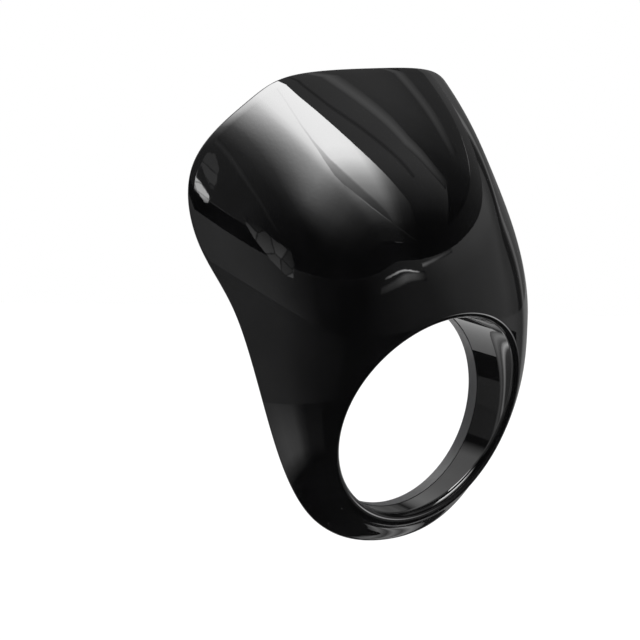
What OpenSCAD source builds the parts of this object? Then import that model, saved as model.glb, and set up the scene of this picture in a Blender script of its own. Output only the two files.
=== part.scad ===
// Headlight cowl: one moulded shell with a round tunnel, which leans back as it rises.
// X is the rider's left, Y points to the rear, Z is up.
// The origin is on the throat's axis, inside the round throat.

/* [Wall] */
// Thickness of the moulded wall
wall = 3.5; // [2.5:0.1:4.5]

/* [Throat and lip] */
// Radius of the round throat
throat_r = 80.5; // [76:0.5:82]
// Length of the straight throat along its axis
throat_len = 10; // [6:0.5:20]
// How far the throat starts in front of the origin
throat_front = 3; // [1:0.5:6]
// Thickness of the throat's collar
collar_wall = 5; // [4.5:0.5:8]
// Radius of the crest of the lip, measured from the throat's axis
crest_r = 87.4; // [87:0.1:92]
// How far the crest stands in front of the origin, on average
crest_reach = 42.3; // [38:0.1:55]
// How much further forward the crest is at the top, and further back below
crest_tilt = 22; // [12:1:28]
// How far the crest is bowed forward at top and bottom, against its sides
crest_bow = 3.9; // [0:0.1:8]
// Radius of the rolled lip at the top
lip_r_top = 4.6; // [4:0.1:5.4]
// Radius of the rolled lip at the sides
lip_r_side = 4.15; // [3.8:0.05:5.4]
// Radius of the rolled lip at the bottom
lip_r_bottom = 6; // [4.2:0.1:6.4]

/* [Rear edge] */
// Height of the pull point at the middle of the top edge
top_z = 254.5; // [220:0.5:290]
// How far back the middle of the top edge is pulled
top_y = 54; // [30:1:70]
// Half width of the straight part of the top edge
brow_x = 79; // [60:1:90]
// Height of the end of the top edge
brow_z = 250; // [238:1:280]
// How far back the end of the top edge is pulled
brow_y = 76; // [60:1:90]
// Half width at the top corner
corner_x = 101; // [92:1:115]
// Height of the top corner
corner_z = 229; // [212:1:236]
// How far back the top corner is pulled
corner_y = 83; // [65:1:100]
// Half width at the upper end of the shoulder
shoulder_x = 148; // [130:1:165]
// Height of the upper end of the shoulder
shoulder_z = 179; // [165:1:200]
// How far back the shoulder reaches
shoulder_y = 108; // [85:1:130]
// Half width at the lower end of the shoulder
haunch_x = 154; // [135:1:170]
// Height of the lower end of the shoulder
haunch_z = 116; // [100:1:135]
// How far back the lower end of the shoulder reaches
haunch_y = 72; // [50:1:90]
// Half width where the flank starts
flank_x = 137; // [122:1:150]
// Height where the flank starts
flank_z = 82; // [70:1:98]
// How far back the flank starts
flank_y = 37; // [20:1:48]
// Half width at the jaw
jaw_x = 128.5; // [118:0.5:136]
// Height of the jaw above the throat's axis
jaw_z = 8; // [-10:1:20]
// How far back the jaw reaches
jaw_y = 6; // [0:1:14]
// Half width at the corner of the chin
chin_x = 84; // [76:1:92]
// Depth of the chin's corner below the throat's axis
chin_corner_drop = 96; // [90:1:108]
// How far back the chin's corner reaches
chin_corner_y = 2; // [-6:1:10]
// Depth of the pull point at the middle of the chin
chin_drop = 114.5; // [110:0.5:130]
// How far the middle of the chin reaches back, negative to the front
chin_y = -7; // [-10:1:2]

/* [Form between lip and rear edge] */
// Slope at which the skin leaves the lip at the top, from upright
rise_top = 14; // [0:1:30]
// Slope at which the skin leaves the lip at the sides
rise_side = 36; // [25:1:50]
// Slope at which the skin leaves the lip at the bottom
rise_bottom = 69; // [50:1:80]
// Slope at which the skin meets the rear edge at the top
lean_top = 60; // [45:1:75]
// Slope at which the skin meets the rear edge at the sides
lean_side = 74; // [60:1:88]
// Slope at which the skin meets the rear edge at the bottom
lean_bottom = 70; // [60:1:85]
// Fullness next to the lip at the top, as a share of the span
lip_swell_top = 0.35; // [0.25:0.01:0.45]
// Fullness next to the lip at the sides, as a share of the span
lip_swell_side = 0.30; // [0.2:0.01:0.4]
// Fullness next to the lip at the bottom, as a share of the span
lip_swell_bottom = 0.34; // [0.25:0.01:0.45]
// Fullness next to the rear edge at the top, as a share of the span
edge_swell_top = 0.42; // [0.3:0.01:0.5]
// Fullness next to the rear edge at the sides, as a share of the span
edge_swell_side = 0.33; // [0.25:0.01:0.45]
// Fullness next to the rear edge at the bottom, as a share of the span
edge_swell_bottom = 0.32; // [0.25:0.01:0.45]

/* [Fixing bosses] */
// Distance between the left and the right bosses
boss_span_x = 170; // [150:1:176]
// Height of the upper bosses above the throat's axis
boss_upper_z = 120; // [100:1:140]
// Depth of the lower bosses below the throat's axis
boss_lower_drop = 45; // [35:1:50]
// How far behind the origin the faces of the bosses lie
boss_face_y = 5; // [0:0.5:9]
// Radius of a boss
boss_r = 6.5; // [5.5:0.1:7.5]
// Thickness of the gussets that stand beside each boss
gusset_t = 2.4; // [1.6:0.1:3]
// How far a gusset reaches out from the middle of its boss
gusset_reach = 14; // [10:0.5:16]
// How far a gusset ends short of the face of its boss
gusset_step = 4; // [2:0.5:8]

/* [Threaded inserts] */
// Outer radius of a brass insert
insert_r = 4; // [3.4:0.1:4.5]
// Length of a brass insert
insert_len = 12; // [8:0.5:14]
// Radius of the hole through an insert, at the crest of its thread
insert_hole_r = 2.5; // [2:0.1:3]
// Gap round an insert, in which the plastic has set
insert_gap = 0.05; // [0.02:0.01:0.1]
// Depth of the free hole in front of an insert, for the end of the screw
screw_room = 3; // [1:0.5:5]

/* [Hidden] */

// Steps along each stretch of half the rear edge, top to chin
edge_steps = [5, 5, 7, 5, 5, 9, 7, 6];
// Steps round the lip, along the skin, and round the rear edge
lip_steps = 9;
skin_steps = 14;
rim_steps = 4;
root_steps = 3;
foot_steps = 5;
search_steps = 24;
probe_step = 1;
overlap = 1;
round_fn = 96;
boss_fn = 48;
// Step in radius between the tunnel's end and the throat
seat_step = 0.4;
// Least width of the hollow between the lip and the tunnel's outer face
root_min = 0.5;
// Nearest that a place on the wall may come to the lip's crest
crest_clear = 2;
// Where the tunnel's wall ends, inside the collar
tunnel_end_y = overlap - throat_front;
// Room round the end of the screw, and the insert's groove
screw_clearance = 0.5;
groove_depth = 0.6;
groove_from = 0.4;
groove_to = 0.6;
boss_places = [
    [boss_span_x / 2, boss_upper_z],
    [-boss_span_x / 2, boss_upper_z],
    [boss_span_x / 2, -boss_lower_drop],
    [-boss_span_x / 2, -boss_lower_drop]
];
gloss_black = [0.06, 0.06, 0.065];
brass_yellow = [0.78, 0.62, 0.30];

half_edge = [
    [0, top_y, top_z],
    [brow_x, brow_y, brow_z],
    [corner_x, corner_y, corner_z],
    [shoulder_x, shoulder_y, shoulder_z],
    [haunch_x, haunch_y, haunch_z],
    [flank_x, flank_y, flank_z],
    [jaw_x, jaw_y, jaw_z],
    [chin_x, chin_corner_y, -chin_corner_drop],
    [0, chin_y, -chin_drop]
];
half_n = len(half_edge) - 1;
loop_n = 2 * half_n;

// Pull point number i of the whole rear edge, mirrored on the right side
function pull(i) =
    let (k = (i + loop_n) % loop_n)
    k <= half_n ? half_edge[k] : [-half_edge[loop_n - k].x, half_edge[loop_n - k].y, half_edge[loop_n - k].z];

// Point of the rear edge at t, a smooth closed curve drawn towards the pull points
function edge(t) =
    let (i = floor(t), w = t - i)
    (pow(1 - w, 3) * pull(i - 1)
     + (3 * pow(w, 3) - 6 * w * w + 4) * pull(i)
     + (-3 * pow(w, 3) + 3 * w * w + 3 * w + 1) * pull(i + 1)
     + pow(w, 3) * pull(i + 2)) / 6;

// Smooth change round the throat's axis between values at the top, the sides and the bottom
function around(top, side, bottom, a) =
    side + (top - bottom) / 2 * cos(a) + ((top + bottom) / 2 - side) * pow(cos(a), 2);

// Distances in the half plane at angle a are pairs: out from the throat's axis, and to the rear
function lip_r(a) = around(lip_r_top, lip_r_side, lip_r_bottom, a);
function crest_y(a) = -(crest_reach + crest_tilt * cos(a) + crest_bow * cos(2 * a));
function lip_centre(a) = [crest_r, crest_y(a) + lip_r(a)];
function lip_point(a, g) = lip_centre(a) + lip_r(a) * [sin(g), -cos(g)];
function rise(a) = around(rise_top, rise_side, rise_bottom, a);
function lean(a) = around(lean_top, lean_side, lean_bottom, a);
function lip_swell(a) = around(lip_swell_top, lip_swell_side, lip_swell_bottom, a);
function edge_swell(a) = around(edge_swell_top, edge_swell_side, edge_swell_bottom, a);
function along(g) = [cos(g), sin(g)];

// Middle line of the skin in the half plane of rear edge point e, s from 0 at the lip to 1
function skin(e, s) =
    let (
        a = atan2(e.x, e.z),
        p0 = lip_point(a, rise(a)),
        p3 = [norm([e.x, e.z]), e.y],
        span = norm(p3 - p0),
        p1 = p0 + lip_swell(a) * span * along(rise(a)),
        p2 = p3 - edge_swell(a) * span * along(lean(a))
    )
    pow(1 - s, 3) * p0 + 3 * s * pow(1 - s, 2) * p1 + 3 * s * s * (1 - s) * p2 + pow(s, 3) * p3;

// A pair of distances in the half plane at angle a, as a point
function place(a, p) = [p[0] * sin(a), p[1], p[0] * cos(a)];

// Angle round the throat's axis of the rear edge at t, growing from 0 at the top
function edge_angle(t) = let (e = edge(t), a = atan2(e.x, e.z)) a < -0.001 ? a + 360 : a;

// Value between low and high at which the rear edge has the angle a
function find_edge(a, low = 0, high = half_n, n = search_steps) =
    n == 0 ? (low + high) / 2 :
    let (mid = (low + high) / 2)
    edge_angle(mid) < a ? find_edge(a, mid, high, n - 1) : find_edge(a, low, mid, n - 1);

// Share of the skin's length at which it is r away from the throat's axis
function find_skin(e, r, low = 0, high = 1, n = search_steps) =
    n == 0 ? (low + high) / 2 :
    let (mid = (low + high) / 2)
    skin(e, mid)[0] < r ? find_skin(e, r, mid, high, n - 1) : find_skin(e, r, low, mid, n - 1);

// Place along Y of the outer face of the skin, at x to the left and z up
function skin_y(x, z) =
    let (e = edge(find_edge(atan2(abs(x), z))))
    skin(e, find_skin(e, norm([x, z])))[1];

// Slopes of the skin along X and Z, and its middle along Y
function skin_slope(x, z, d = probe_step) =
    [(skin_y(x + d, z) - skin_y(x - d, z)) / (2 * d), (skin_y(x, z + d) - skin_y(x, z - d)) / (2 * d)];
function skin_middle(x, z) =
    let (m = skin_slope(x, z)) skin_y(x, z) + wall / 2 * sqrt(1 + m * m);

// Places round the rear edge, close together where it turns
half_t = [for (i = [0:half_n - 1]) for (k = [0:edge_steps[i] - 1]) i + k / edge_steps[i]];
all_t = concat(half_t, [half_n], [for (i = [len(half_t) - 1:-1:1]) loop_n - half_t[i]]);
n_round = len(all_t);
edge_points = [for (t = all_t) edge(t)];
edge_angles = [for (e = edge_points) atan2(e.x, e.z)];

// Outer skin, ending short of the rear edge by half the wall, which the edge's rounding fills
outer = [for (i = [0:n_round - 1])
    let (
        e = edge_points[i],
        a = edge_angles[i],
        pace = 3 * edge_swell(a) * norm(skin(e, 1) - skin(e, 0)),
        end = 1 - wall / 2 / pace
    )
    [for (j = [0:skin_steps]) place(a, skin(e, end * j / skin_steps))]];

function unit(v) = v / norm(v);
function outer_normal(i, j) =
    let (
        before = outer[(i + n_round - 1) % n_round][j],
        after = outer[(i + 1) % n_round][j],
        low = outer[i][max(j - 1, 0)],
        high = outer[i][min(j + 1, skin_steps)]
    )
    unit(cross(after - before, high - low));

// Closed section of the shell at station i, from the throat over the lip to the rear edge and back
function section(i) =
    let (
        a = edge_angles[i],
        tip = unit(outer[i][skin_steps] - outer[i][skin_steps - 1]),
        tip_n = outer_normal(i, skin_steps),
        tip_c = outer[i][skin_steps] - wall / 2 * tip_n,
        inner = [for (j = [skin_steps:-1:0]) outer[i][j] - wall * outer_normal(i, j)],
        start = inner[skin_steps],
        start_r = norm([start.x, start.z]),
        root_r = min(crest_r - lip_r(a) + wall, start_r - root_min),
        turn = place(a, [root_r, start.y]),
        root = place(a, [root_r, start.y + wall])
    )
    concat(
        [place(a, [throat_r + seat_step, tunnel_end_y])],
        [for (k = [0:lip_steps - 1]) place(a, lip_point(a, -90 + (90 + rise(a)) * k / lip_steps))],
        outer[i],
        [for (k = [1:rim_steps - 1])
            let (g = 180 * k / rim_steps) tip_c + wall / 2 * (cos(g) * tip_n + sin(g) * tip)],
        inner,
        [for (k = [1:root_steps])
            let (w = k / root_steps) pow(1 - w, 2) * start + 2 * w * (1 - w) * turn + w * w * root],
        [place(a, [throat_r + seat_step + wall, tunnel_end_y])]
    );

// The shell's skin, lip and tunnel, as one closed wall lofted through all the sections
module lofted_shell() {
    sections = [for (i = [0:n_round - 1]) section(i)];
    n_section = len(sections[0]);
    points = [for (s = sections) for (p = s) p];
    faces = [for (i = [0:n_round - 1]) for (k = [0:n_section - 1])
        let (
            a = i * n_section + k,
            b = i * n_section + (k + 1) % n_section,
            c = ((i + 1) % n_round) * n_section + (k + 1) % n_section,
            d = ((i + 1) % n_round) * n_section + k
        )
        each [[a, b, c], [a, c, d]]];
    polyhedron(points, faces);
}

// Straight collar behind the tunnel, with the bored throat
module throat_collar() {
    translate([0, -throat_front, 0]) rotate([-90, 0, 0])
        difference() {
            cylinder(h = throat_len, r = throat_r + collar_wall, $fn = round_fn);
            translate([0, 0, -overlap])
                cylinder(h = throat_len + 2 * overlap, r = throat_r, $fn = round_fn);
        }
}

// Middle of the wall along Y at x and z, kept outside the lip
function wall_middle(x, z) =
    let (k = max(1, (crest_r + crest_clear) / norm([x, z]))) skin_middle(x * k, z * k);

// Everything in front of the middle of the wall, seen from the boss at x and z
module front_of_wall(x, z) {
    m = skin_slope(x, z);
    n = unit([m[0], -1, m[1]]);
    side = 8 * boss_r;
    translate([x, skin_middle(x, z), z])
        rotate([0, acos(n.z), atan2(n.y, n.x)])
            translate([-side / 2, -side / 2, 0]) cube(side);
}

// Round post from the wall back to the fixing face
module boss_post(x, z) {
    m = skin_slope(x, z);
    height = boss_face_y - skin_y(x, z) + boss_r * (abs(m[0]) + abs(m[1])) + overlap;
    difference() {
        translate([x, boss_face_y, z]) rotate([90, 0, 0]) cylinder(h = height, r = boss_r, $fn = boss_fn);
        front_of_wall(x, z);
    }
}

// Thin plate that stands on the wall beside a boss, along the direction at angle g from upright
module gusset(x, z, g, from, to) {
    top_y = boss_face_y - gusset_step;
    foot = [for (k = [0:foot_steps])
        let (u = from + (to - from) * k / foot_steps) [u, wall_middle(x + u * sin(g), z + u * cos(g))]];
    translate([x, 0, z]) rotate([0, g - 90, 0]) translate([0, 0, -gusset_t / 2])
        linear_extrude(height = gusset_t)
            polygon(concat(foot, [[boss_r / 2, top_y], [-boss_r / 2, top_y]]));
}

// Blind hole for an insert and the end of its screw
module insert_hole(x, z) {
    translate([x, boss_face_y, z]) rotate([90, 0, 0]) {
        translate([0, 0, -overlap])
            cylinder(h = insert_len + overlap, r = insert_r + insert_gap, $fn = boss_fn);
        cylinder(h = insert_len + screw_room, r = insert_hole_r + screw_clearance, $fn = boss_fn);
    }
}

// A bored boss with one gusset across and one along the half plane through the throat's axis
module boss(x, z) {
    g = atan2(x, z);
    e = edge(find_edge(abs(g)));
    tunnel_gap = norm([x, z]) - (throat_r + wall / 2);
    edge_gap = norm([e.x, e.z]) - norm([x, z]) - 2 * wall;
    difference() {
        union() {
            boss_post(x, z);
            gusset(x, z, g, -min(gusset_reach, tunnel_gap), min(gusset_reach, edge_gap));
            gusset(x, z, g + 90, -gusset_reach, gusset_reach);
        }
        insert_hole(x, z);
    }
}

module cowl_shell() {
    color(gloss_black) union() {
        difference() {
            lofted_shell();
            for (p = boss_places) insert_hole(p[0], p[1]);
        }
        difference() {
            throat_collar();
            for (p = boss_places) insert_hole(p[0], p[1]);
        }
        for (p = boss_places) boss(p[0], p[1]);
    }
}

// Turned brass insert with a groove round its middle, its face flush with the boss
module threaded_insert(p) {
    color(brass_yellow) translate([p[0], boss_face_y, p[1]]) rotate([90, 0, 0])
        rotate_extrude($fn = boss_fn) polygon([
            [insert_hole_r, 0],
            [insert_r, 0],
            [insert_r, insert_len * groove_from],
            [insert_r - groove_depth, insert_len * groove_from],
            [insert_r - groove_depth, insert_len * groove_to],
            [insert_r, insert_len * groove_to],
            [insert_r, insert_len - groove_depth],
            [insert_r - groove_depth, insert_len],
            [insert_hole_r, insert_len]
        ]);
}

cowl_shell();
threaded_insert(boss_places[0]);  // insert_upper_left
threaded_insert(boss_places[1]);  // insert_upper_right
threaded_insert(boss_places[2]);  // insert_lower_left
threaded_insert(boss_places[3]);  // insert_lower_right
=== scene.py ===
# Looks of the headlight cowl. X is the rider's left, Y points to the rear, Z is up, in metres.
# Sizes are in millimetres, the same as in the CAD source, and are turned into metres at the end.
import math

import bmesh
import bpy
import numpy as np
from mathutils import Matrix, Vector
from mathutils.bvhtree import BVHTree


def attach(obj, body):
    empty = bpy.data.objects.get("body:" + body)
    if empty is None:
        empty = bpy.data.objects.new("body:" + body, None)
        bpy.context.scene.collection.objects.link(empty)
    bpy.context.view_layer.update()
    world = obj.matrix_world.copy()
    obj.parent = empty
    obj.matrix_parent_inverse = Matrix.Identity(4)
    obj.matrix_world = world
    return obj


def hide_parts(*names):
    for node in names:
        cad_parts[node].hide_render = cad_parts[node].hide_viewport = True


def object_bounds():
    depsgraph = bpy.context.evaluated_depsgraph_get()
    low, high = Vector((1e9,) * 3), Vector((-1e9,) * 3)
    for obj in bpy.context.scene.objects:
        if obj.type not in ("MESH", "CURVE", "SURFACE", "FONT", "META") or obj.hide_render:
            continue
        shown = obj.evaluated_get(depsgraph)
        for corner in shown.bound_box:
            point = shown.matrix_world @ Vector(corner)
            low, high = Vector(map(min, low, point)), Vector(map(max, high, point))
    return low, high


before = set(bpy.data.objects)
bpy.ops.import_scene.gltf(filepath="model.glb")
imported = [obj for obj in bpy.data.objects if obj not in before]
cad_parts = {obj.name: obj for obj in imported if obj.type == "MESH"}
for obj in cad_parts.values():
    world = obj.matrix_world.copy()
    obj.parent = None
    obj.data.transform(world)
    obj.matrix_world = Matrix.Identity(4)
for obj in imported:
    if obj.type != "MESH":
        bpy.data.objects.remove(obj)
cad_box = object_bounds()
MM = 0.001

# Wall, throat and lip
WALL = 3.5
THROAT_R = 80.5
THROAT_FRONT = -3.0
THROAT_REAR = 7.0
COLLAR_R = 85.5
COLLAR_BEVEL = 0.5
SEAT_STEP = 0.4
TUNNEL_END_Y = -2.0
CREST_R = 87.4
CREST_REACH = 42.3
CREST_TILT = 22.0
CREST_BOW = 3.9
ROOT_MIN = 0.5

# Values that change round the throat's axis: at the top, the sides and the bottom
LIP_R = (4.6, 4.15, 6.0)
RISE = (14.0, 36.0, 69.0)
LEAN = (60.0, 74.0, 70.0)
LIP_SWELL = (0.35, 0.30, 0.34)
EDGE_SWELL = (0.42, 0.33, 0.32)

# Pull points of half the rear edge, from the middle of the top to the middle of the chin
HALF_EDGE = [
    (0, 54, 254.5),
    (79, 76, 250),
    (101, 83, 229),
    (148, 108, 179),
    (154, 72, 116),
    (137, 37, 82),
    (128.5, 6, 8),
    (84, 2, -96),
    (0, -7, -114.5),
]

# Steps round the shell, and along each stretch of its section
STATIONS = 480
SKIN_STEPS = 44
LIP_STEPS = 20
RIM_STEPS = 8
TUNNEL_STEPS = 14
ROOT_STEPS = 4

# Bosses: places across and up, and sizes
BOSSES = [(85, 120), (-85, 120), (85, -45), (-85, -45)]
BOSS_NAMES = ["upper_left", "upper_right", "lower_left", "lower_right"]
BOSS_R = 6.5
BOSS_TURNS = 64
FACE_Y = 5.0
BORE_BEVEL = 0.3
SCREW_R = 3.0
SCREW_ROOM = 3.0
CORE_R = 0.5

# Section of a boss: distance outside its radius, and height over the wall or over its face
BOSS_FOOT = [(1.6, -0.6), (1.6, 0.0), (0.8, 0.25), (0.25, 0.8), (0.0, 1.7)]
BOSS_FACE = [(0.0, -3.0), (0.0, -0.5), (-0.15, -0.15), (-0.5, 0.0)]

# Gussets beside each boss
GUSSET_T = 2.4
GUSSET_STEP = 4.0
GUSSET_OUT = 14.0
GUSSET_OUT_LOWER = 8.5
GUSSET_CLEAR = 4.0
GUSSET_STATIONS = 14
GUSSET_SUNK = 0.7
GUSSET_ROOT = 1.2

# Section of a gusset: distance outside its side, and height over the wall or over its top
GUSSET_FOOT = [(1.2, -0.6), (0.5, 0.15), (0.0, 0.8)]
GUSSET_TOP = [(-0.15, -0.15), (-0.5, 0.0)]

# Brass inserts: body, knurl with a plain groove, and thread
INSERT_R = 4.0
INSERT_LEN = 12.0
INSERT_GAP = 0.05
INSERT_TURNS = 96
END_BEVEL = 0.6
FACE_BEVEL = 0.4
FACE_BEVEL_IN = 0.35
KNURL_STEPS = 30
KNURL_DEPTH = 0.12
KNURL_TEETH = 24
KNURL_SLANT = 2.6
GROOVE_DEPTH = 0.6
GROOVE_FRONT = -7.2
GROOVE_REAR = -4.6
HOLE_R = 2.5
HOLE_STEPS = 144
THREAD_DEPTH = 0.5
THREAD_PITCH = 1.0
THREAD_FLAT = 1.25
THREAD_SLOPE = 3.2
THREAD_ROOT_R = HOLE_R + THREAD_DEPTH
SINK_DEPTH = 0.8
SINK_OUT = 0.3

# How near two vertices are to be joined, in metres, and where a sight line to the wall starts
JOIN = 1e-7
SIGHT_Y = 0.2

# Angle in degrees past which an edge of the shell or of an insert is sharp
SHELL_SHARP = 32
INSERT_SHARP = 50

# Levels between which most of a noise lies
NOISE_LOW = 0.3
NOISE_HIGH = 0.7


# Smooth change round the throat's axis between values at the top, the sides and the bottom
def around(v, a):
    top, side, bottom = v
    c = np.cos(a)
    return side + (top - bottom) / 2 * c + ((top + bottom) / 2 - side) * c * c


# Points of the rear edge, a smooth closed curve drawn towards the pull points
def rear_edge():
    half = np.array(HALF_EDGE, float)
    loop = np.vstack([half, half[-2:0:-1] * [-1, 1, 1]])
    t = np.arange(STATIONS) * len(loop) / STATIONS
    i = np.floor(t).astype(int)
    w = (t - i)[:, None]
    before, near, after, last = (loop[(i + k) % len(loop)] for k in (-1, 0, 1, 2))
    return ((1 - w) ** 3 * before + (3 * w ** 3 - 6 * w ** 2 + 4) * near
            + (-3 * w ** 3 + 3 * w ** 2 + 3 * w + 1) * after + w ** 3 * last) / 6


# Centre of the lip's roll in the half plane at angle a, as distances outwards and to the rear
def lip_centre(a):
    y = -(CREST_REACH + CREST_TILT * np.cos(a) + CREST_BOW * np.cos(2 * a)) + around(LIP_R, a)
    return np.stack([np.full_like(a, CREST_R), y], -1)


# Points of the skin at shares s of its length, from the lip to the rear edge
def skin(edge, a, s):
    rise, lean = np.radians(around(RISE, a)), np.radians(around(LEAN, a))
    r = around(LIP_R, a)
    p0 = lip_centre(a) + r[:, None] * np.stack([np.sin(rise), -np.cos(rise)], -1)
    p3 = np.stack([np.hypot(edge[:, 0], edge[:, 2]), edge[:, 1]], -1)
    span = np.linalg.norm(p3 - p0, axis=1)[:, None]
    p1 = p0 + around(LIP_SWELL, a)[:, None] * span * np.stack([np.cos(rise), np.sin(rise)], -1)
    p2 = p3 - around(EDGE_SWELL, a)[:, None] * span * np.stack([np.cos(lean), np.sin(lean)], -1)
    s = s[..., None]
    p0, p1, p2, p3 = (p[:, None] for p in (p0, p1, p2, p3))
    return (1 - s) ** 3 * p0 + 3 * s * (1 - s) ** 2 * p1 + 3 * s * s * (1 - s) * p2 + s ** 3 * p3


# Distances outwards and to the rear in the half planes at angles a, as points
def place(a, p):
    a = a[:, None]
    return np.stack([p[..., 0] * np.sin(a), p[..., 1], p[..., 0] * np.cos(a)], -1)


def unit(v):
    return v / np.linalg.norm(v, axis=-1, keepdims=True)


# Straight run between two points of the half plane, without its last point
def run(p, q, n):
    w = (np.arange(n) / n)[None, :, None]
    return p[:, None] * (1 - w) + q[:, None] * w


# One radius and one place along Y, in the half planes at angles a
def circle(a, radius, y):
    return np.stack([np.full_like(a, radius), np.full_like(a, y)], -1)


# Outer skin and its normals. It ends short of the rear edge by half the wall, which the rim fills
def outer_skin(edge, a):
    length = skin(edge, a, np.ones((1, 1)))[:, 0] - skin(edge, a, np.zeros((1, 1)))[:, 0]
    end = 1 - WALL / 2 / (3 * around(EDGE_SWELL, a) * np.linalg.norm(length, axis=1))
    shares = end[:, None] * np.arange(SKIN_STEPS + 1)[None] / SKIN_STEPS
    outer = place(a, skin(edge, a, shares))
    ring = np.roll(outer, -1, 0) - np.roll(outer, 1, 0)
    return outer, unit(np.cross(ring, np.gradient(outer, axis=1)))


# Half roll round the rear edge, from the outer skin to the inner face
def rear_rim(outer, normal):
    outwards = normal[:, -1]
    onwards = unit(outer[:, -1] - outer[:, -2])
    centre = outer[:, -1] - WALL / 2 * outwards
    g = np.pi * np.arange(1, RIM_STEPS)[None, :, None] / RIM_STEPS
    return centre[:, None] + WALL / 2 * (np.cos(g) * outwards[:, None] + np.sin(g) * onwards[:, None])


# Roll of the lip, from the tunnel over the crest to the skin
def lip_roll(a):
    r, rise = around(LIP_R, a)[:, None], np.radians(around(RISE, a))[:, None]
    g = -np.pi / 2 + (np.pi / 2 + rise) * np.arange(LIP_STEPS)[None] / LIP_STEPS
    return lip_centre(a)[:, None] + r[..., None] * np.stack([np.sin(g), -np.cos(g)], -1)


# Fillet behind the lip, the tunnel's outer face, and the foot where that face meets the collar
def behind_lip(a, start):
    start_r = np.hypot(start[:, 0], start[:, 2])
    root_r = np.minimum(CREST_R - around(LIP_R, a) + WALL, start_r - ROOT_MIN)
    p0 = np.stack([start_r, start[:, 1]], -1)[:, None]
    p1 = np.stack([root_r, start[:, 1]], -1)[:, None]
    p2 = np.stack([root_r, start[:, 1] + WALL], -1)[:, None]
    w = (np.arange(1, ROOT_STEPS + 1) / ROOT_STEPS)[None, :, None]
    fillet = (1 - w) ** 2 * p0 + 2 * w * (1 - w) * p1 + w * w * p2
    share = (THROAT_FRONT - p2[:, 0, 1]) / (TUNNEL_END_Y - p2[:, 0, 1])
    foot_r = p2[:, 0, 0] + (THROAT_R + SEAT_STEP + WALL - p2[:, 0, 0]) * share
    foot = circle(a, foot_r, THROAT_FRONT)
    return fillet, run(p2[:, 0], foot, TUNNEL_STEPS)[:, 1:], foot


# Section of the throat's collar, from the foot of the tunnel round to the throat's front
def collar_section(a, foot):
    e = COLLAR_BEVEL
    corners = [
        (COLLAR_R - e, THROAT_FRONT), (COLLAR_R, THROAT_FRONT + e),
        (COLLAR_R, THROAT_REAR - e), (COLLAR_R - e, THROAT_REAR),
        (THROAT_R + e, THROAT_REAR), (THROAT_R, THROAT_REAR - e),
        (THROAT_R, THROAT_FRONT),
    ]
    return np.stack([foot] + [circle(a, r, y) for r, y in corners], 1)


# Points of the shell by station and by place in the section, and how many in a section are glossy
def shell_points():
    edge = rear_edge()
    a = np.arctan2(edge[:, 0], edge[:, 2])
    outer, normal = outer_skin(edge, a)
    inner = (outer - WALL * normal)[:, ::-1]
    lip = lip_roll(a)
    tunnel = run(circle(a, THROAT_R + SEAT_STEP, THROAT_FRONT), lip[:, 0], TUNNEL_STEPS)
    fillet, back, foot = behind_lip(a, inner[:, -1])
    glossy = [place(a, tunnel), place(a, lip), outer, rear_rim(outer, normal)]
    hidden = [inner, place(a, fillet), place(a, back), place(a, collar_section(a, foot))]
    return np.concatenate(glossy + hidden, 1), sum(p.shape[1] for p in glossy)


# Bends a grid of spans by rows onto a sheet of points, and joins the borders that meet
def bend(bm, points, spans):
    n, k = points.shape[:2]
    for v in bm.verts:
        i, j = round((v.co.x + 1) / 2 * spans) % n, round((v.co.y + 1) / 2 * k) % k
        v.co = points[i, j] * MM
    bmesh.ops.remove_doubles(bm, verts=bm.verts, dist=JOIN)


# Mesh of a sheet of points that closes on itself both ways
def ring_mesh(points, material_of=lambda j: 0):
    n, k = points.shape[:2]
    bm = bmesh.new()
    bmesh.ops.create_grid(bm, x_segments=n, y_segments=k, size=1)
    uv = bm.loops.layers.uv.new("UVMap")
    for f in bm.faces:
        for loop in f.loops:
            loop[uv].uv = ((loop.vert.co.x + 1) / 2, (loop.vert.co.y + 1) / 2)
        f.material_index = material_of(int((f.calc_center_median().y + 1) / 2 * k))
        f.smooth = True
    bend(bm, points, n)
    bmesh.ops.recalc_face_normals(bm, faces=bm.faces)
    if bm.calc_volume(signed=True) < 0:
        bmesh.ops.reverse_faces(bm, faces=bm.faces)
    return bm


# Mesh of a sheet of points that closes on itself only across its strips, with its two ends capped
def strip_mesh(points):
    n, k = points.shape[:2]
    bm = bmesh.new()
    bmesh.ops.create_grid(bm, x_segments=n - 1, y_segments=k, size=1)
    bend(bm, points, n - 1)
    bmesh.ops.holes_fill(bm, edges=[e for e in bm.edges if e.is_boundary], sides=0)
    bmesh.ops.recalc_face_normals(bm, faces=bm.faces)
    for f in bm.faces:
        f.smooth = True
        f.material_index = 1
    return bm


def mark_sharp(bm, degrees):
    for e in bm.edges:
        if len(e.link_faces) == 2:
            e.smooth = e.calc_face_angle(0) < math.radians(degrees)


# Adds the pieces to a mesh and frees them
def add_to(bm, pieces):
    for piece in pieces:
        mesh = bpy.data.meshes.new("part")
        piece.to_mesh(mesh)
        piece.free()
        bm.from_mesh(mesh)
        bpy.data.meshes.remove(mesh)


def to_object(bm, name, materials):
    mesh = bpy.data.meshes.new(name)
    bm.to_mesh(mesh)
    bm.free()
    obj = bpy.data.objects.new(name, mesh)
    bpy.context.scene.collection.objects.link(obj)
    for m in materials:
        mesh.materials.append(m)
    return obj


# Place along Y of the shell's inner face, seen from the rear at x and z
def inner_y(tree, x, z):
    hit = tree.ray_cast(Vector((x * MM, SIGHT_Y, z * MM)), Vector((0, -1, 0)))[0]
    return hit.y / MM


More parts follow.
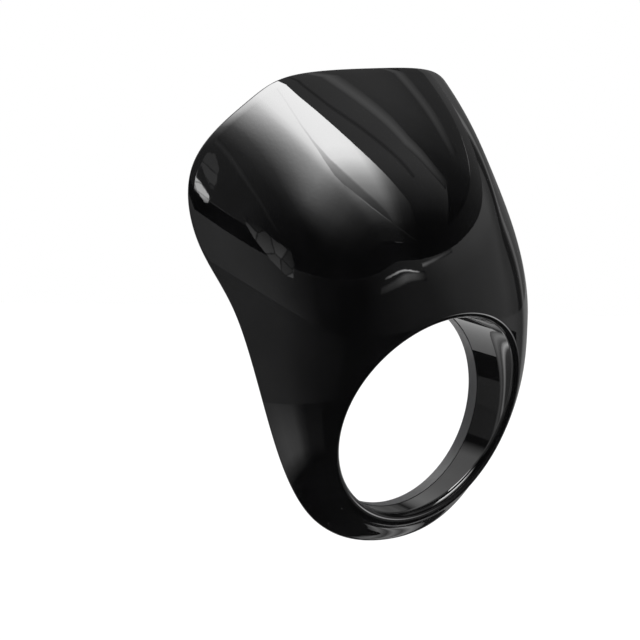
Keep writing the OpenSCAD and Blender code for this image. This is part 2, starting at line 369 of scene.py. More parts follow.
# Round post with a filleted foot, an open face and the bore for its insert
def boss_post(tree, x, z):
    bore, end = INSERT_R + INSERT_GAP, -INSERT_LEN - SCREW_ROOM
    on_wall = [(BOSS_R + out, y) for out, y in BOSS_FOOT]
    on_face = [(BOSS_R + out, y) for out, y in BOSS_FACE]
    on_face += [(bore + BORE_BEVEL, 0.0), (bore, -BORE_BEVEL), (bore, -INSERT_LEN / 2), (bore, -INSERT_LEN)]
    on_face += [(SCREW_R, -INSERT_LEN), (SCREW_R, end), (CORE_R, end), (CORE_R, end - CORE_R)]
    rows = []
    for i in range(BOSS_TURNS):
        g = 2 * math.pi * i / BOSS_TURNS
        row = []
        for r, y in on_wall:
            px, pz = x + r * math.cos(g), z + r * math.sin(g)
            row.append((px, inner_y(tree, px, pz) + y, pz))
        row += [(x + r * math.cos(g), FACE_Y + y, z + r * math.sin(g)) for r, y in on_face]
        rows.append(row)
    return ring_mesh(np.array(rows), lambda j: 1)


# Thin plate with a filleted foot that runs from a boss down to the wall, along the direction at angle g
def gusset(tree, x, z, g, reach):
    half = GUSSET_T / 2
    section = [(-half - out, y, False) for out, y in GUSSET_FOOT]
    section += [(-half - out, y, True) for out, y in GUSSET_TOP]
    section += [(-w, y, on_top) for w, y, on_top in reversed(section)]
    middle = np.array([x, z])
    onwards = np.array([math.sin(g), math.cos(g)])
    side = np.array([onwards[1], -onwards[0]])
    end_x, end_z = middle + onwards * reach
    high = FACE_Y - GUSSET_STEP
    low = inner_y(tree, end_x, end_z) - GUSSET_SUNK
    points = np.zeros((GUSSET_STATIONS, 2 * len(section), 3))
    for i in range(GUSSET_STATIONS):
        share = i / (GUSSET_STATIONS - 1)
        u = BOSS_R / 2 + (reach - BOSS_R / 2) * share
        top = high + (low - high) * share
        for j, (w, y, on_top) in enumerate(section):
            px, pz = middle + onwards * u + side * w
            wall = inner_y(tree, px, pz)
            sunk = wall - GUSSET_SUNK
            spot = max(top + y, sunk) if on_top else min(wall + y, max(top, sunk))
            points[i, j] = (px, spot, pz)
            points[i, -1 - j] = (px, wall - GUSSET_ROOT, pz)
    return strip_mesh(points)


# Radius of an insert's knurl at place y and angle g, where two sets of slanted grooves cross
def knurl_radius(y, g):
    first, second = (1 + math.cos(KNURL_TEETH * g + slant * y) for slant in (KNURL_SLANT, -KNURL_SLANT))
    return INSERT_R - KNURL_DEPTH * first * second / 4


# Radius of the threaded hole at place y, at a share of the way round
def thread_radius(y, share):
    from_root = abs((y / THREAD_PITCH + share) % 1 - 0.5)
    r = HOLE_R + THREAD_DEPTH * min(1, max(0, THREAD_FLAT - from_root * THREAD_SLOPE))
    if y > -SINK_DEPTH:
        r = max(r, THREAD_ROOT_R + SINK_OUT + y)
    return r


# Brass insert: knurled outside with a plain groove, bevelled ends, and a thread cut into its hole
def threaded_insert(x, z):
    low, high = -INSERT_LEN + END_BEVEL, -FACE_BEVEL
    levels = [low + (high - low) * k / KNURL_STEPS for k in range(1, KNURL_STEPS)]
    depths = [-INSERT_LEN * k / HOLE_STEPS for k in range(1, HOLE_STEPS + 1)]
    rows = []
    for i in range(INSERT_TURNS):
        share = i / INSERT_TURNS
        g = 2 * math.pi * share
        section = [(INSERT_R - END_BEVEL, -INSERT_LEN), (INSERT_R, low)]
        for y in levels:
            in_groove = GROOVE_FRONT < y < GROOVE_REAR
            section.append((INSERT_R - GROOVE_DEPTH if in_groove else knurl_radius(y, g), y))
        section += [(INSERT_R, high), (INSERT_R - FACE_BEVEL_IN, 0.0), (THREAD_ROOT_R + FACE_BEVEL_IN, 0.0)]
        section += [(thread_radius(y, share), y) for y in depths]
        rows.append([(x + r * math.cos(g), FACE_Y + y, z + r * math.sin(g)) for r, y in section])
    return ring_mesh(np.array(rows))


def new_material(name):
    m = bpy.data.materials.new(name)
    m.use_nodes = True
    return m, m.node_tree, m.node_tree.nodes["Principled BSDF"]


# Node of a kind. Names with a capital are its inputs, and the others are its settings
def node_of(net, kind, **values):
    n = net.nodes.new(kind)
    for key, value in values.items():
        if key[0].isupper():
            n.inputs[key.replace("_", " ")].default_value = value
        else:
            setattr(n, key, value)
    return n


# Gives an input a plain number or another node's result
def feed(net, value, socket):
    if isinstance(value, (int, float)):
        socket.default_value = value
    else:
        net.links.new(value, socket)


def maths(net, operation, first, second):
    n = node_of(net, "ShaderNodeMath", operation=operation)
    feed(net, first, n.inputs[0])
    feed(net, second, n.inputs[1])
    return n.outputs[0]


# Operation on a vector and a fixed one
def vector_maths(net, operation, vector, fixed, result="Vector"):
    n = node_of(net, "ShaderNodeVectorMath", operation=operation)
    net.links.new(vector, n.inputs[0])
    n.inputs[1].default_value = fixed
    return n.outputs[result]


# Value brought from one span of levels to another
def spread(net, value, **levels):
    n = node_of(net, "ShaderNodeMapRange", **levels)
    net.links.new(value, n.inputs["Value"])
    return n.outputs["Result"]


def texture(net, kind, where, result, **values):
    n = node_of(net, kind, **values)
    net.links.new(where, n.inputs["Vector"])
    return n.outputs[result]


# Value between two levels that follows a noise
def noisy_value(net, where, scale, low, high, detail=2.0):
    noise = texture(net, "ShaderNodeTexNoise", where, "Fac", Scale=scale, Detail=detail)
    return spread(net, noise, From_Min=NOISE_LOW, From_Max=NOISE_HIGH, To_Min=low, To_Max=high)


# Colour between two tones that follows a noise
def noisy_colour(net, where, tones, scale, detail=2.0):
    mix = node_of(net, "ShaderNodeMix", data_type="RGBA", A=tones[0], B=tones[1])
    net.links.new(noisy_value(net, where, scale, 0.0, 1.0, detail), mix.inputs["Factor"])
    return mix.outputs["Result"]


# Bump of a height, on top of the one before
def bump_of(net, height, distance, before=None):
    bump = node_of(net, "ShaderNodeBump", Strength=1.0, Distance=distance)
    net.links.new(height, bump.inputs["Height"])
    if before:
        net.links.new(before, bump.inputs["Normal"])
    return bump.outputs["Normal"]


# Darker and paler tone of each finish
GLOSS_TONES = ((0.001, 0.001, 0.0011, 1), (0.0024, 0.0024, 0.0026, 1))
INSIDE_TONES = ((0.026, 0.026, 0.027, 1), (0.042, 0.042, 0.044, 1))
BRASS_TONES = ((0.62, 0.44, 0.2, 1), (0.82, 0.64, 0.33, 1))

# Heights of the fine relief, in metres
RIPPLE_HEIGHT = 0.000004
GRAIN_HEIGHT = 0.00006
PIN_HEIGHT = 0.0005
RINGS_HEIGHT = 0.00002

# Stretch of the insert's own map, which makes the turned rings
RINGS_STRETCH = (2, 700, 0)

# Places of ejector pin marks on the inner face, across and up
PIN_MARKS = [
    (0, 150), (0, 205), (55, 175), (-55, 175), (100, 150), (-100, 150), (112, 40), (-112, 40),
    (105, -20), (-105, -20),
]
PIN_R = 4.0
PIN_EDGE_IN = 0.25
PIN_EDGE_OUT = 0.1


# Black gloss: deep base, and a hard clear coat with a faint ripple and faint wear in its shine
def gloss_material():
    m, net, p = new_material("gloss_black_plastic")
    where = net.nodes.new("ShaderNodeTexCoord").outputs["Object"]
    net.links.new(noisy_colour(net, where, GLOSS_TONES, scale=30.0), p.inputs["Base Color"])
    p.inputs["Specular IOR Level"].default_value = 0.0
    p.inputs["Coat Weight"].default_value = 1.0
    net.links.new(noisy_value(net, where, scale=60.0, low=0.25, high=0.4), p.inputs["Roughness"])
    wear = noisy_value(net, where, scale=45.0, low=0.01, high=0.03, detail=5.0)
    net.links.new(wear, p.inputs["Coat Roughness"])
    ripple = texture(net, "ShaderNodeTexNoise", where, "Fac", Scale=330.0, Detail=1.0)
    net.links.new(bump_of(net, ripple, RIPPLE_HEIGHT), p.inputs["Coat Normal"])
    return m


# Height at one shallow round mark: low inside its edge, and level outside
def pin_mark(net, flat, x, z):
    away = vector_maths(net, "DISTANCE", flat, (x * MM, 0, z * MM), "Value")
    return spread(net, away, From_Min=(PIN_R - PIN_EDGE_IN) * MM, From_Max=(PIN_R + PIN_EDGE_OUT) * MM)


# Moulded inside: fine grain, uneven shine, ejector pin marks
def matte_material():
    m, net, p = new_material("moulded_black_inside")
    where = net.nodes.new("ShaderNodeTexCoord").outputs["Object"]
    net.links.new(noisy_colour(net, where, INSIDE_TONES, scale=22.0, detail=4.0), p.inputs["Base Color"])
    shine = noisy_value(net, where, scale=35.0, low=0.3, high=0.48, detail=3.0)
    net.links.new(shine, p.inputs["Roughness"])
    grain = texture(net, "ShaderNodeTexVoronoi", where, "Distance", Scale=900.0)
    flat = vector_maths(net, "MULTIPLY", where, (1, 0, 1))
    height = pin_mark(net, flat, *PIN_MARKS[0])
    for x, z in PIN_MARKS[1:]:
        height = maths(net, "MINIMUM", height, pin_mark(net, flat, x, z))
    rough = bump_of(net, grain, GRAIN_HEIGHT)
    net.links.new(bump_of(net, height, PIN_HEIGHT, rough), p.inputs["Normal"])
    return m


# Turned brass: fine rings that follow the section, and slight tarnish
def brass_material():
    m, net, p = new_material("turned_brass")
    p.inputs["Metallic"].default_value = 1.0
    coords = net.nodes.new("ShaderNodeTexCoord")
    tarnish = noisy_colour(net, coords.outputs["Object"], BRASS_TONES, scale=400.0, detail=3.0)
    net.links.new(tarnish, p.inputs["Base Color"])
    stretched = vector_maths(net, "MULTIPLY", coords.outputs["UV"], RINGS_STRETCH)
    shine = noisy_value(net, stretched, scale=1.0, low=0.18, high=0.42, detail=1.0)
    net.links.new(shine, p.inputs["Roughness"])
    rings = texture(net, "ShaderNodeTexNoise", stretched, "Fac", Scale=1.0, Detail=1.0)
    net.links.new(bump_of(net, rings, RINGS_HEIGHT), p.inputs["Normal"])
    return m


gloss = gloss_material()
matte = matte_material()
brass = brass_material()

# The finer sections stay inside the box of the CAD's coarser faces
points, glossy_rows = shell_points()
points = np.clip(points, np.array(cad_box[0]) / MM, np.array(cad_box[1]) / MM)
bm = ring_mesh(points, lambda j: 0 if j < glossy_rows else 1)
tree = BVHTree.FromBMesh(bm)
pieces = []
for x, z in BOSSES:
    g = math.atan2(x, z)
    inwards = min(GUSSET_OUT, math.hypot(x, z) - THROAT_R - WALL - GUSSET_CLEAR)
    pieces.append(boss_post(tree, x, z))
    pieces.append(gusset(tree, x, z, g, GUSSET_OUT if z > 0 else GUSSET_OUT_LOWER))
    pieces.append(gusset(tree, x, z, g + math.pi, inwards))
    pieces.append(gusset(tree, x, z, g + math.pi / 2, GUSSET_OUT))
    pieces.append(gusset(tree, x, z, g - math.pi / 2, GUSSET_OUT))
add_to(bm, pieces)
mark_sharp(bm, SHELL_SHARP)
shell = to_object(bm, "cowl_shell_skin", [gloss, matte])
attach(shell, "root")
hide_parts("cowl_shell")
for (x, z), name in zip(BOSSES, BOSS_NAMES):
    bm = threaded_insert(x, z)
    mark_sharp(bm, INSERT_SHARP)
    piece = to_object(bm, "brass_insert_" + name, [brass])
    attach(piece, "root")
    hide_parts("insert_" + name)

# Camera of the photograph, found from circles and outlines in it
AIM = Vector((-40.9, 51.2, 58.0)) * MM
BACK = Vector((-0.63121, -0.74567, 0.21340)).normalized()
RIGHT = Vector((0.77239, -0.62938, 0.08542))
CAMERA_DISTANCE = 2.5127
LENS = 182.75
SENSOR = 36

right = (RIGHT - RIGHT.dot(BACK) * BACK).normalized()
camera_data = bpy.data.cameras.new("camera")
camera_data.lens = LENS
camera_data.sensor_width = SENSOR
camera = bpy.data.objects.new("camera", camera_data)
bpy.context.scene.collection.objects.link(camera)
turn = Matrix((right, BACK.cross(right), BACK)).transposed().to_4x4()
camera.matrix_world = Matrix.Translation(AIM + BACK * CAMERA_DISTANCE) @ turn
bpy.context.scene.camera = camera

# Studio: X to the rider's right, Y ahead, Z truly up, which leans 5.6 degrees from the cowl's own up
STUDIO_LEAN = math.radians(5.6)
FAR = 10.0
FLOOR_Z = -0.75
FLOOR_R = 6.0
FLOOR_TURNS = 96
CARD_STEPS = 48
WIDE_CARD_STEPS = 96
CARD_ROWS = 12
RIBBON_ROWS = 6
ahead = Vector((0, -math.cos(STUDIO_LEAN), math.sin(STUDIO_LEAN)))
studio_up = Vector((0, math.sin(STUDIO_LEAN), math.cos(STUDIO_LEAN)))
studio = Matrix((Vector((-1, 0, 0)), ahead, studio_up)).transposed().to_4x4()


# Place on the flat ceiling, from shares of its height to the right and ahead
def on_ceiling(p, far):
    return (p[0] * far, p[1] * far, far)


# Place on the round wall, from the azimuth to the rider's left and the elevation
def on_wall(p, far):
    az, el = math.radians(p[0]), math.radians(p[1])
    return (-far * math.sin(az), far * math.cos(az), far * math.tan(el))


# Place on a level sheet under the object, from azimuth and elevation below the horizon
def on_floor(p, depth):
    az, reach = math.radians(p[0]), depth / math.tan(math.radians(-p[1]))
    return (-reach * math.sin(az), reach * math.cos(az), -depth)


# Place on an upright screen close to the object, from azimuth and height
def on_stand(p, far):
    az = math.radians(p[0])
    return (-far * math.sin(az), far * math.cos(az), p[1])


# Place on a round sheet across the tunnel, from the angle round its axis and the radius in mm
def on_disc(p, y):
    g = math.radians(p[0])
    return studio.inverted() @ (Vector((p[1] * math.sin(g), y, p[1] * math.cos(g))) * MM)


# Point at share u of the way along a row of points
def along(row, u):
    at = u * (len(row) - 1)
    i = min(int(at), len(row) - 2)
    w = at - i
    return (row[i][0] * (1 - w) + row[i + 1][0] * w, row[i][1] * (1 - w) + row[i + 1][1] * w)


# Low and high side of a card that fills a rectangle of its plane
def between(left, right, low, high):
    return [(left, low), (right, low)], [(left, high), (right, high)]


# Fade along a card's length
def lengthwise(pairs):
    return ("UVMap", (1, 0), pairs)


# Fade from one side of a card to the other
def crosswise(pairs):
    return ("UVMap", (0, 1), pairs)


# Fade read at x times the first plus y times the second of a card's two places
def by_place(pairs, x=1, y=0):
    return ("plane", (x, y), pairs)


# Strength times a fade, which is a map, a direction in it, and pairs of a place and a share
def times_fade(net, strength, fade):
    layer, direction, pairs = fade
    first, last = pairs[0][0], pairs[-1][0]
    where = node_of(net, "ShaderNodeUVMap", uv_map=layer).outputs["UV"]
    reading = vector_maths(net, "DOT_PRODUCT", where, (direction[0], direction[1], 0), "Value")
    ramp = net.nodes.new("ShaderNodeValToRGB")
    for k, (at, share) in enumerate(pairs):
        position = (at - first) / (last - first)
        stop = ramp.color_ramp.elements[k] if k < 2 else ramp.color_ramp.elements.new(position)
        stop.position = position
        stop.color = (share, share, share, 1)
    net.links.new(spread(net, reading, From_Min=first, From_Max=last), ramp.inputs["Fac"])
    return maths(net, "MULTIPLY", ramp.outputs["Color"], strength)


# Tone of the shards, then the dark cracks between them: feature, result, span of levels, lowest share
SHARD_LAYERS = [("F1", "Color", 0.25, 0.75, 0.35), ("DISTANCE_TO_EDGE", "Distance", 0.0, 0.07, 0.2)]


# Strength times a pattern of flat shards with dark cracks between them
def times_shards(net, strength, scale):
    where = node_of(net, "ShaderNodeUVMap", uv_map="plane").outputs["UV"]
    for feature, result, low, high, least in SHARD_LAYERS:
        cells = node_of(net, "ShaderNodeTexVoronoi", voronoi_dimensions="2D", feature=feature, Scale=scale)
        net.links.new(where, cells.inputs["Vector"])
        share = spread(net, cells.outputs[result], From_Min=low, From_Max=high, To_Min=least)
        strength = maths(net, "MULTIPLY", share, strength)
    return strength


# Material without nodes, but for its output
def bare_material(name):
    m = bpy.data.materials.new(name)
    m.use_nodes = True
    m.node_tree.nodes.clear()
    return m, m.node_tree, m.node_tree.nodes.new("ShaderNodeOutputMaterial")


# Card that glossy surfaces see at one strength, faded, and that lights other surfaces at another
def card_material(name, shown, lit, fades=(), shards=0.0, least=None):
    m, net, out = bare_material(name)
    strength = shown
    for fade in fades:
        strength = times_fade(net, strength, fade)
    if shards:
        strength = times_shards(net, strength, shards)
    if least:
        strength = maths(net, "ADD", strength, times_fade(net, least[0], least[1]))
    path = net.nodes.new("ShaderNodeLightPath")
    choice = node_of(net, "ShaderNodeMix", A=lit)
    net.links.new(path.outputs["Is Glossy Ray"], choice.inputs["Factor"])
    feed(net, strength, choice.inputs["B"])
    emission = net.nodes.new("ShaderNodeEmission")
    net.links.new(choice.outputs["Result"], emission.inputs["Strength"])
    net.links.new(emission.outputs[0], out.inputs["Surface"])
    return m


# Thin veil in front of a card, which lets a share of its light through, and more where it fades
def veil_material(name, share, fades):
    m, net, out = bare_material(name)
    held = 1 - share
    for fade in fades:
        held = times_fade(net, held, fade)
    clear = net.nodes.new("ShaderNodeBsdfTransparent")
    net.links.new(maths(net, "SUBTRACT", 1, held), clear.inputs["Color"])
    net.links.new(clear.outputs[0], out.inputs["Surface"])
    return m


def to_stage(bm, name, material, seen=False):
    bmesh.ops.transform(bm, matrix=studio, verts=bm.verts)
    obj = to_object(bm, name, [material])
    obj.visible_camera = seen
    return obj


# Sheet between two rows of points, with its share along and across and its place as two maps
def card(
    name, material, side_a, side_b, place_of,
    far=FAR, steps=CARD_STEPS, rows=CARD_ROWS, only_mirrored=False,
):
    bm = bmesh.new()
    bmesh.ops.create_grid(bm, x_segments=steps, y_segments=rows, size=1)
    share = bm.loops.layers.uv.new("UVMap")
    plane = bm.loops.layers.uv.new("plane")

    def spot(co):
        u, w = (co.x + 1) / 2, (co.y + 1) / 2
        a, b = along(side_a, u), along(side_b, u)
        return u, w, (a[0] * (1 - w) + b[0] * w, a[1] * (1 - w) + b[1] * w)

    for f in bm.faces:
        for loop in f.loops:
            u, w, p = spot(loop.vert.co)
            loop[share].uv = (u, w)
            loop[plane].uv = p
    for v in bm.verts:
        v.co = place_of(spot(v.co)[2], far)
    obj = to_stage(bm, name, material)
    if only_mirrored:
        obj.visible_diffuse = False
        obj.visible_shadow = False
        obj.visible_transmission = False


# Narrow card along a row of points
def ribbon(name, material, row, width, place_of, far):
    side_a, side_b = [], []
    for i, (x, y) in enumerate(row):
        before, after = row[max(i - 1, 0)], row[min(i + 1, len(row) - 1)]
        dx, dy = after[0] - before[0], after[1] - before[1]
        size = math.hypot(dx, dy)
        nx, ny = -dy / size * width / 2, dx / size * width / 2
        side_a.append((x - nx, y - ny))
        side_b.append((x + nx, y + ny))
    card(name, material, side_a, side_b, place_of, far, rows=RIBBON_ROWS)


# How far the ceiling reaches each way, as a share of its height
CEILING_END = 1.9

# Key light above the rider's right: one hard edge, and soft falls to the right and ahead
KEY_EDGE = [
    (0.11, -1.9), (0.11, -0.3), (0.11, 0.0), (0.105, 0.13), (-0.08, 0.41), (-0.26, 0.67), (-0.5, 1.05),
    (-0.7, 1.9),
]
KEY_RIGHT = [(CEILING_END, y) for x, y in KEY_EDGE]
KEY_LEFT_SOFT = [
    (-0.7, 0.0), (-0.5, 0.1), (-0.35, 0.2), (-0.25, 0.4), (-0.15, 0.71), (-0.05, 0.93), (0.1, 0.98),
    (0.3, 1.0),
]
KEY_RIGHT_SOFT = [
    (0.6, 1.0), (0.7, 0.98), (0.78, 0.85), (0.85, 0.6), (0.9, 0.35), (0.97, 0.1), (1.05, 0.03), (1.2, 0.01),
    (1.9, 0.003),
]
KEY_CORNER_SOFT = [
    (0.6, 1.0), (0.78, 0.95), (0.88, 0.85), (0.97, 0.62), (1.03, 0.42), (1.11, 0.22), (1.21, 0.09),
    (1.31, 0.035), (1.41, 0.012), (1.6, 0.003), (2.3, 0.002),
]
KEY_AHEAD = [
    (-1.9, 0.03), (-0.6, 0.1), (-0.3, 0.9), (0.0, 0.97), (0.45, 1.0), (0.55, 0.89), (0.65, 0.6), (0.75, 0.38),
    (0.85, 0.25), (0.95, 0.18), (1.05, 0.11), (1.15, 0.07), (1.25, 0.045), (1.35, 0.03), (1.45, 0.014),
    (1.6, 0.006), (1.9, 0.003),
]
DIM_AHEAD = [(-1.9, 0.6), (0.0, 1.0), (0.2, 0.9), (0.4, 0.35), (0.8, 0.12), (1.9, 0.1)]
fades = [
    by_place(KEY_LEFT_SOFT), by_place(KEY_RIGHT_SOFT, x=1, y=-0.35), by_place(KEY_CORNER_SOFT, x=1, y=0.2),
    by_place(KEY_AHEAD, x=0, y=1),
]
key = card_material(
    "key_light", shown=19.4, lit=2.0, fades=fades, least=(0.19, by_place(DIM_AHEAD, x=0, y=1)),
)
card("key_card", key, KEY_EDGE, KEY_RIGHT, on_ceiling)

# Ceiling to the left of the key, with two brighter streaks and a darker line
STREAK = [
    (-0.28, -1.9), (-0.33, -0.3), (-0.39, -0.05), (-0.58, 0.2), (-0.66, 0.33), (-0.93, 0.54), (-1.2, 0.68),
    (-1.4, 1.9),
]
CEILING_AHEAD = [
    (-1.9, 0.8), (0.0, 0.95), (0.5, 1.0), (0.65, 0.85), (0.75, 0.65), (0.85, 0.5), (0.95, 0.35), (1.05, 0.25),
    (1.2, 0.1), (1.4, 0.04), (1.9, 0.03),
]
ceiling = card_material("ceiling_light", shown=0.55, lit=1.4, fades=[by_place(CEILING_AHEAD, x=0, y=1)])
card("ceiling_card", ceiling, STREAK, KEY_EDGE, on_ceiling)
OUTER_EDGE = [(-CEILING_END, y) for x, y in STREAK]
OUTER_ACROSS = [
    (-1.9, 0.3), (-1.6, 0.3), (-1.3, 0.36), (-1.1, 0.46), (-0.9, 0.63), (-0.7, 0.8), (-0.3, 1.0),
]
OUTER_AHEAD = [
    (-1.9, 0.7), (0.0, 1.0), (0.25, 0.75), (0.35, 0.5), (0.5, 0.4), (0.65, 0.35), (0.85, 0.15), (1.05, 0.07),
    (1.9, 0.05),
]
outer = card_material(
    "outer_light", shown=0.46, lit=1.2, fades=[by_place(OUTER_ACROSS), by_place(OUTER_AHEAD, x=0, y=1)],
)
card("outer_card", outer, OUTER_EDGE, STREAK, on_ceiling)
SOFT_SIDES = [(0.0, 0.42), (0.25, 0.9), (0.45, 1.0), (0.7, 0.75), (1.0, 0.45)]
STREAK_LENGTH = [(0.0, 0.7), (0.2, 1.0), (0.6, 1.0), (0.8, 0.55), (1.0, 0.15)]
streak = card_material(
    "streak_light", shown=1.05, lit=1.4, fades=[crosswise(SOFT_SIDES), lengthwise(STREAK_LENGTH)],
)
ribbon("streak_card", streak, STREAK[1:7], width=0.15, place_of=on_ceiling, far=0.98 * FAR)
SECOND_STREAK = [(-1.0, -0.6), (-1.14, -0.35), (-1.25, -0.15), (-1.34, 0.03), (-1.46, 0.18)]
SECOND_LENGTH = [(0.0, 1.0), (0.6, 0.9), (1.0, 0.35)]
second = card_material(
    "second_streak_light", shown=0.46, lit=1.2, fades=[crosswise(SOFT_SIDES), lengthwise(SECOND_LENGTH)],
)
ribbon("second_streak_card", second, SECOND_STREAK, width=0.24, place_of=on_ceiling, far=0.98 * FAR)
DARK_LINE = [
    (-0.10, -0.2), (-0.11, 0.06), (-0.17, 0.16), (-0.28, 0.27), (-0.39, 0.4), (-0.5, 0.53),
    (-0.62, 0.7),
]
DARK_SIDES = [(0.0, 0.0), (0.4, 1.0), (0.6, 1.0), (1.0, 0.0)]
dark = veil_material("dark_line", share=0.55, fades=[crosswise(DARK_SIDES)])
ribbon("dark_line_veil", dark, DARK_LINE, width=0.07, place_of=on_ceiling, far=0.97 * FAR)

# Veil across the key, between two curved lines that meet, with a thin bright line along it
VEIL_NEAR = [
    (0.30, 0.08), (0.40, 0.14), (0.50, 0.20), (0.60, 0.27), (0.67, 0.37), (0.67, 0.52), (0.59, 0.66),
    (0.5, 0.77), (0.36, 0.91), (0.16, 1.06), (0.02, 1.2), (-0.04, 1.37),
]
VEIL_FAR = [
    (0.31, 0.06), (0.42, 0.13), (0.52, 0.185), (0.625, 0.255), (0.715, 0.36), (0.80, 0.5), (0.84, 0.64),
    (0.81, 0.77), (0.68, 0.94), (0.46, 1.14), (0.16, 1.32), (-0.04, 1.42),
]
VEIL_SIDES = [(0.0, 0.3), (0.25, 1.0), (0.97, 1.0), (1.0, 0.6)]
VEIL_LENGTH = [(0.0, 0.1), (0.25, 0.2), (0.4, 0.6), (0.5, 1.0), (0.8, 1.0), (1.0, 0.6)]
veil = veil_material("veil", share=0.5, fades=[crosswise(VEIL_SIDES), lengthwise(VEIL_LENGTH)])
card("key_veil", veil, VEIL_NEAR, VEIL_FAR, on_ceiling, far=0.96 * FAR)
BRIGHT_LINE = [
    (0.82, 0.79), (0.69, 0.96), (0.47, 1.16), (0.16, 1.34), (-0.02, 1.43), (-0.32, 1.61), (-0.68, 1.88),
]
LINE_LENGTH = [(0.0, 0.9), (0.2, 0.9), (0.35, 0.8), (0.5, 0.4), (0.67, 0.1), (1.0, 0.03)]
line = card_material("line_light", shown=3.4, lit=1.4, fades=[lengthwise(LINE_LENGTH)])
ribbon("line_card", line, BRIGHT_LINE, width=0.022, place_of=on_ceiling, far=0.95 * FAR)

# Elevations of the studio's walls
STUDIO_LOW = -9
STUDIO_HIGH = 21.5
FLAG_HIGH = 27.8

# Walls: a long pale one to the left and a dim one to the right, with a dark band above them
LEFT_SHARES = [
    (-25, 0.04), (-20, 0.1), (-3, 0.3), (19, 0.45), (37, 0.85), (60, 1.0), (81, 0.9), (91, 0.5), (97, 0.42),
    (98, 0.12), (104, 0.12), (107, 0.4), (108.5, 1.0), (111, 0.9), (113, 0.4), (120, 0.4), (150, 0.5),
]
LEFT_HEIGHTS = [(-9, 0.6), (5, 0.8), (14, 0.95), (19, 1.3), (21.5, 1.4)]
left_wall = card_material(
    "left_wall_light", shown=0.47, lit=0.5, fades=[by_place(LEFT_SHARES), by_place(LEFT_HEIGHTS, x=0, y=1)],
)
card("left_wall_card", left_wall, *between(-25, 150, STUDIO_LOW, STUDIO_HIGH), on_wall)
RIGHT_SHARES = [
    (-170, 0.25), (-130, 0.35), (-105, 0.9), (-92, 1.0), (-80, 0.8), (-66, 0.33), (-55, 0.1), (-40, 0.04),
    (-25, 0.04),
]
right_wall = card_material("right_wall_light", shown=0.5, lit=0.5, fades=[by_place(RIGHT_SHARES)])
card("right_wall_card", right_wall, *between(-170, -25, STUDIO_LOW, STUDIO_HIGH), on_wall)
UPPER_SHARES = [(-170, 0.4), (-110, 0.08), (40, 0.08), (60, 0.25), (80, 0.6), (95, 0.9), (150, 1.0)]
upper = card_material("upper_flag", shown=0.24, lit=0.5, fades=[by_place(UPPER_SHARES)])
card("upper_flag_card", upper, *between(-170, 150, STUDIO_HIGH, FLAG_HIGH), on_wall, far=1.01 * FAR)

# Lights in front of the walls: a bright line ahead, a glow below it, and a shorter line to the left
HIGHLIGHT_SIDES = [(0.0, 0.2), (0.4, 1.0), (0.7, 1.0), (1.0, 0.1)]
HIGHLIGHT_LENGTH = [(0.0, 0.1), (0.3, 0.7), (0.6, 1.0), (0.9, 0.6), (1.0, 0.1)]
HIGHLIGHT_ROW = [(-13, 19.1), (-6, 18.8), (2, 18.4), (8, 18), (14, 17.6)]
highlight = card_material(
    "highlight", shown=8.5, lit=0.7, fades=[crosswise(HIGHLIGHT_SIDES), lengthwise(HIGHLIGHT_LENGTH)],
)
ribbon("highlight_card", highlight, HIGHLIGHT_ROW, width=0.65, place_of=on_wall, far=0.97 * FAR)
GLOW_ROW = [(-15, 15.6), (-5, 16.2), (5, 16.3), (18, 16.2)]
GLOW_SIDES = [(0.0, 0.15), (0.3, 0.8), (0.7, 1.0), (0.9, 0.5), (1.0, 0.2)]
GLOW_LENGTH = [(0.0, 0.2), (0.3, 0.45), (0.5, 1.0), (0.75, 0.8), (1.0, 0.1)]
glow_light = card_material(
    "glow_light", shown=1.5, lit=0.7, fades=[crosswise(GLOW_SIDES), lengthwise(GLOW_LENGTH)],
)
ribbon("glow_card", glow_light, GLOW_ROW, width=3.2, place_of=on_wall, far=0.98 * FAR)
SIDE_ROW = [(17, 19.6), (25, 20.3), (31, 20.8), (40, 21)]
SIDE_LENGTH = [(0.0, 1.0), (0.35, 0.6), (0.7, 0.35), (1.0, 0.15)]
SIDE_SIDES = [(0.0, 0.25), (0.5, 1.0), (1.0, 0.25)]
side_light = card_material(
    "side_light", shown=2.4, lit=0.7, fades=[crosswise(SIDE_SIDES), lengthwise(SIDE_LENGTH)],
)
ribbon("side_card", side_light, SIDE_ROW, width=1.5, place_of=on_wall, far=0.97 * FAR)

# Broken lights to the right, which the near shoulder shows as shards, and a faint line above them
GREY_NEAR = [(-90.8, 39.4), (-91.4, 36.6), (-91, 34.4), (-90.6, 32)]
GREY_FAR = [(-89.2, 40.4), (-88.4, 38.2), (-88.8, 35.6), (-90, 32)]
grey_shard = card_material("grey_shard_light", shown=1.0, lit=0.7, shards=0.3)
card("grey_shard_card", grey_shard, GREY_NEAR, GREY_FAR, on_wall, far=0.9 * FAR)
PATCH_LENGTH = [(0.0, 0.5), (0.4, 1.0), (0.8, 1.0), (1.0, 0.4)]
PATCH_NEAR = [(-93.9, 34), (-94.5, 31.8), (-93.9, 29.8), (-93.2, 28), (-92.5, 26.5)]
PATCH_FAR = [(-93.3, 34.2), (-92.6, 32.6), (-91.6, 31), (-91, 29.4), (-91.8, 27)]
patch = card_material("patch_light", shown=9.0, lit=0.7, fades=[lengthwise(PATCH_LENGTH)], shards=0.4)
card("patch_card", patch, PATCH_NEAR, PATCH_FAR, on_wall, far=0.97 * FAR)
DIM_SIDES = [(0.0, 1.0), (0.5, 0.75), (1.0, 0.4)]
DIM_LENGTH = [(0.0, 0.3), (0.3, 0.7), (0.7, 1.0), (1.0, 0.8)]
DIM_NEAR = [(-84, 30), (-83, 28), (-81, 25), (-79, 23.4), (-76, 20.6), (-73, 18.8), (-70, 17.4), (-67, 17.6)]
